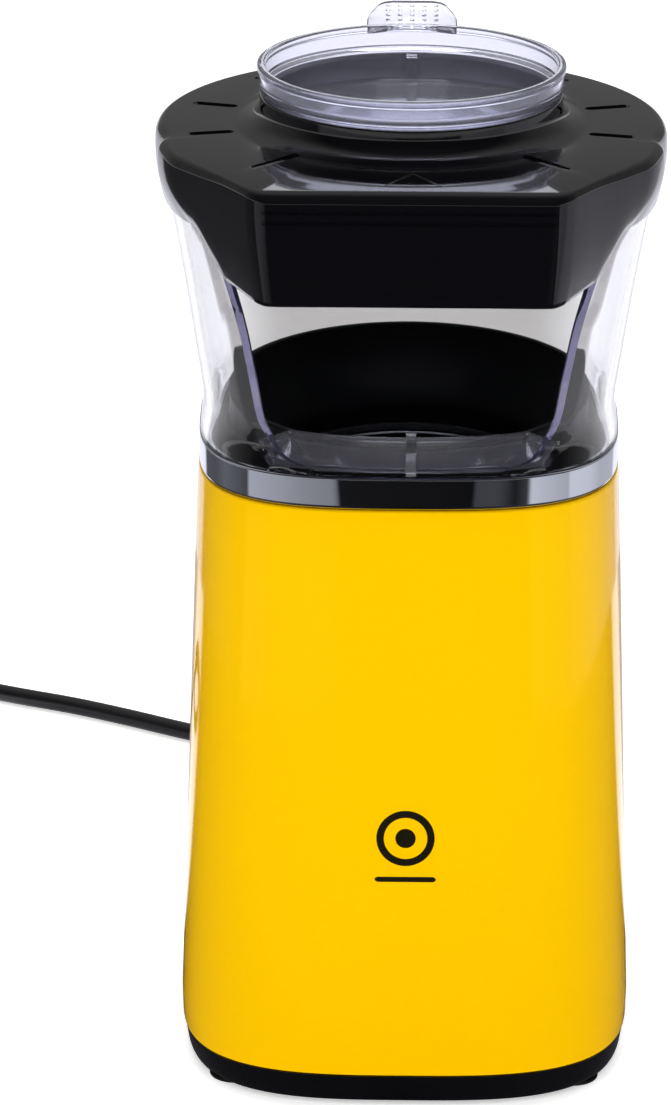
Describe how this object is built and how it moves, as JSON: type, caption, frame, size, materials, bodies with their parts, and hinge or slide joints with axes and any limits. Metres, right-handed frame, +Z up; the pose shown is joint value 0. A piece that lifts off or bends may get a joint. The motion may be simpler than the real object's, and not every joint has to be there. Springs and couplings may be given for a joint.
{
  "type": "popcorn maker",
  "caption": "Hot-air popcorn maker with a tapered rounded-square housing, a clear lift-off hood with a U-shaped outlet, a black cover with a nose, and a clear measuring cup on top.",
  "frame": {"origin": "Middle of the object's footprint, without the cord, on the surface the feet stand on", "axes": "+Z up, -Y towards the outlet at the front, +X to the right seen from the front"},
  "size_m": [0.3261, 0.3858, 0.3081],
  "materials": {
    "yellow_gloss": "gloss",
    "chrome": "mirror",
    "black_gloss": "gloss",
    "black_satin": "satin",
    "black_plastic": "matt",
    "clear_plastic": "clear, faintly smoky",
    "rubber": "matt",
    "aluminium": "satin",
    "steel": "satin",
    "silicone": "matt",
    "mica": "matt",
    "heater_wire": "dull",
    "board_green": "satin",
    "brass": "satin"
  },
  "bodies": {
    "base": {"base_plate": "black_gloss", "foot_1": "rubber", "foot_2": "rubber", "foot_3": "rubber", "foot_4": "rubber", "base_screw_1": "steel", "base_screw_2": "steel", "base_screw_3": "steel", "base_screw_4": "steel", "blower_screw_1": "steel", "blower_screw_2": "steel", "blower_screw_3": "steel", "housing": "yellow_gloss", "trim_ring": "chrome", "funnel": "black_satin", "chamber_gasket": "silicone", "popping_chamber": "aluminium", "heater_duct": "steel", "fan_housing": "black_plastic", "motor_bracket": "steel", "motor": "steel", "motor_screw_1": "steel", "motor_screw_2": "steel", "mica_frame": "mica", "heating_element": "heater_wire", "thermostat": "steel", "thermal_fuse": "aluminium", "circuit_board": "board_green", "board_screw_1": "steel", "board_screw_2": "steel", "switch_body": "black_plastic", "strain_relief": "rubber", "cord": "rubber", "cord_coil": "rubber", "cord_end": "rubber", "cord_tie": "black_plastic", "plug_body": "black_plastic", "plug_pin_1": "brass", "plug_pin_2": "brass"},
    "fan": {"fan_shaft": "steel", "fan": "aluminium"},
    "hood": {"hood": "clear_plastic", "cover": "black_gloss"},
    "cup": {"measuring_cup": "clear_plastic"},
    "rocker": {"switch_rocker": "black_gloss"}
  },
  "joints": [
    {"name": "hood_lift", "type": "slide", "parent": "base", "child": "hood", "axis": [0, 0, 1], "range_m": [0, 0.12]},
    {"name": "cup_lift", "type": "slide", "parent": "hood", "child": "cup", "axis": [0, 0, 1], "range_m": [0, 0.06]},
    {"name": "fan_spin", "type": "hinge", "parent": "base", "child": "fan", "pos_m": [0, 0.00165, 0.05], "axis": [0, 0, 1], "continuous": true},
    {"name": "switch_rock", "type": "hinge", "parent": "base", "child": "rocker", "pos_m": [0, 0.06935, 0.048], "axis": [1, 0, 0], "range_deg": [0, 16]}
  ]
}
